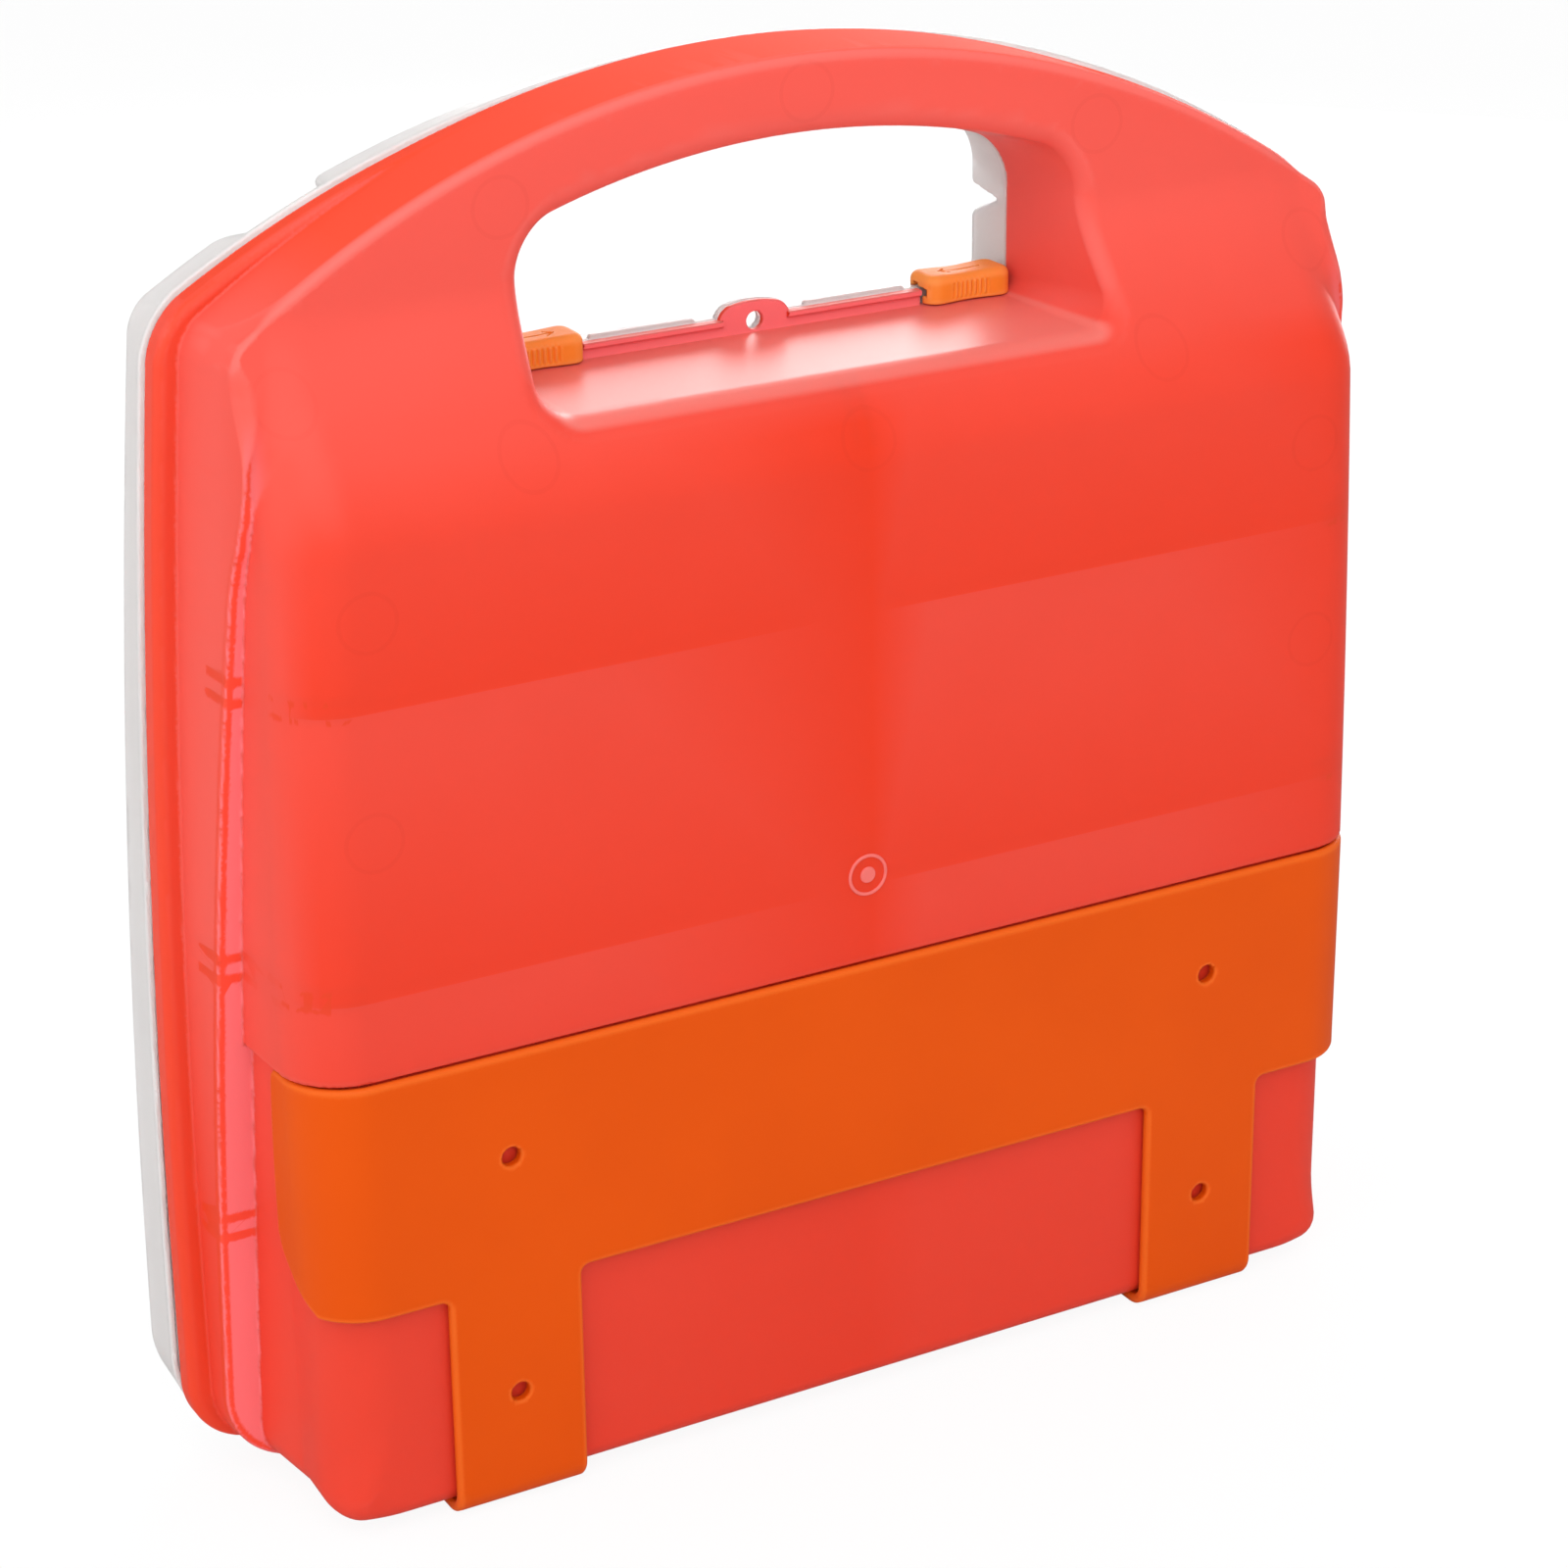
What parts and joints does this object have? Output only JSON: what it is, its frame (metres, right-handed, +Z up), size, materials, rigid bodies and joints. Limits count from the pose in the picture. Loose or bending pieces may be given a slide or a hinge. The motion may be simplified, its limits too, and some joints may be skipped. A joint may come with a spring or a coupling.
{
  "type": "first aid kit",
  "caption": "Portable first aid case with a translucent red shell, clear front lid, arched carry handle, sliding latches, inner dividers and an orange wall bracket that it lifts out of.",
  "frame": {"origin": "middle of the base, on the surface that the bracket's feet stand on", "axes": "+Z up, -Y out of the lid's front, +Y into the wall, +X to the right as seen from the lid"},
  "size_m": [0.3, 0.0724, 0.3055],
  "materials": {
    "red_shell": "translucent coral red polypropylene, satin",
    "clear_lid": "frosted clear polypropylene",
    "orange_parts": "opaque orange polypropylene, satin",
    "divider_plastic": "frosted clear polypropylene"
  },
  "bodies": {
    "bracket": {"wall_bracket": "orange_parts"},
    "case": {"back_shell": "red_shell", "vertical_divider": "divider_plastic", "upper_shelf_left": "divider_plastic", "upper_shelf_right": "divider_plastic", "middle_shelf_left": "divider_plastic", "middle_shelf_right": "divider_plastic", "lower_shelf_left": "divider_plastic", "lower_shelf_right": "divider_plastic"},
    "lid": {"lid": "clear_lid", "hinge_pin_left": "clear_lid", "hinge_pin_right": "clear_lid"},
    "latch_left": {"latch_left": "orange_parts"},
    "latch_right": {"latch_right": "orange_parts"}
  },
  "joints": [
    {"name": "case_lift", "type": "slide", "parent": "bracket", "child": "case", "axis": [0, 0, 1], "range_m": [0, 0.11]},
    {"name": "lid_hinge", "type": "hinge", "parent": "case", "child": "lid", "pos_m": [0, -0.01975, 0.0036], "axis": [1, 0, 0], "range_deg": [0, 100]},
    {"name": "latch_left_slide", "type": "slide", "parent": "lid", "child": "latch_left", "axis": [1, 0, 0], "range_m": [0, 0.0245]},
    {"name": "latch_right_slide", "type": "slide", "parent": "lid", "child": "latch_right", "axis": [-1, 0, 0], "range_m": [0, 0.0245]}
  ]
}
